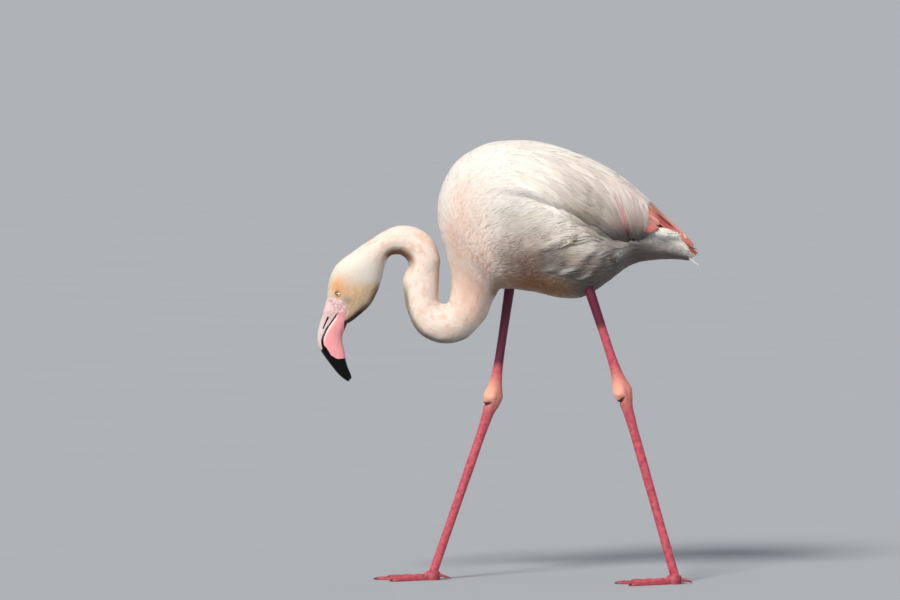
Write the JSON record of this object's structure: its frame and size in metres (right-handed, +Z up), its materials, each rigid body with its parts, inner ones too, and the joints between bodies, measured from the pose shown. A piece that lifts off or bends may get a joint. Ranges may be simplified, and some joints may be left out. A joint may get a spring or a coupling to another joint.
{
  "type": "greater flamingo",
  "caption": "Still, life-size greater flamingo model in mid-stride, neck curved down in an S and bill lowered, standing on its own webbed feet.",
  "frame": {"origin": "on the floor under the middle of the whole bird's box", "axes": "+Z up; the bird faces -X, so its tail is towards +X and its left side towards -Y"},
  "size_m": [0.5735, 0.1692, 0.6642],
  "materials": {
    "plumage": "matt white feathers with a peach-pink flush on breast and neck",
    "flight_feathers": "matt coral-pink covert feathers over black flight feathers",
    "leg_skin": "satin scaly pink skin, orange at the ankles",
    "bill_horn": "satin horn, pale above, pink below, black at the tip",
    "eye": "wet gloss, pale yellow iris with a black pupil"
  },
  "bodies": {
    "root": {"tail": "plumage", "trunk": "plumage", "neck_lower": "plumage", "neck_middle": "plumage", "neck_upper": "plumage", "head": "plumage", "wing_left": "plumage", "wing_right": "plumage", "flight_feathers_left": "flight_feathers", "flight_feathers_right": "flight_feathers", "shank_left": "leg_skin", "shank_right": "leg_skin", "ankle_left": "leg_skin", "ankle_right": "leg_skin", "tarsus_left": "leg_skin", "tarsus_right": "leg_skin", "foot_left": "leg_skin", "foot_right": "leg_skin", "hind_toe_left": "leg_skin", "hind_toe_right": "leg_skin", "bill_upper": "bill_horn", "bill_lower": "bill_horn", "eye_left": "eye", "eye_right": "eye"}
  },
  "joints": []
}
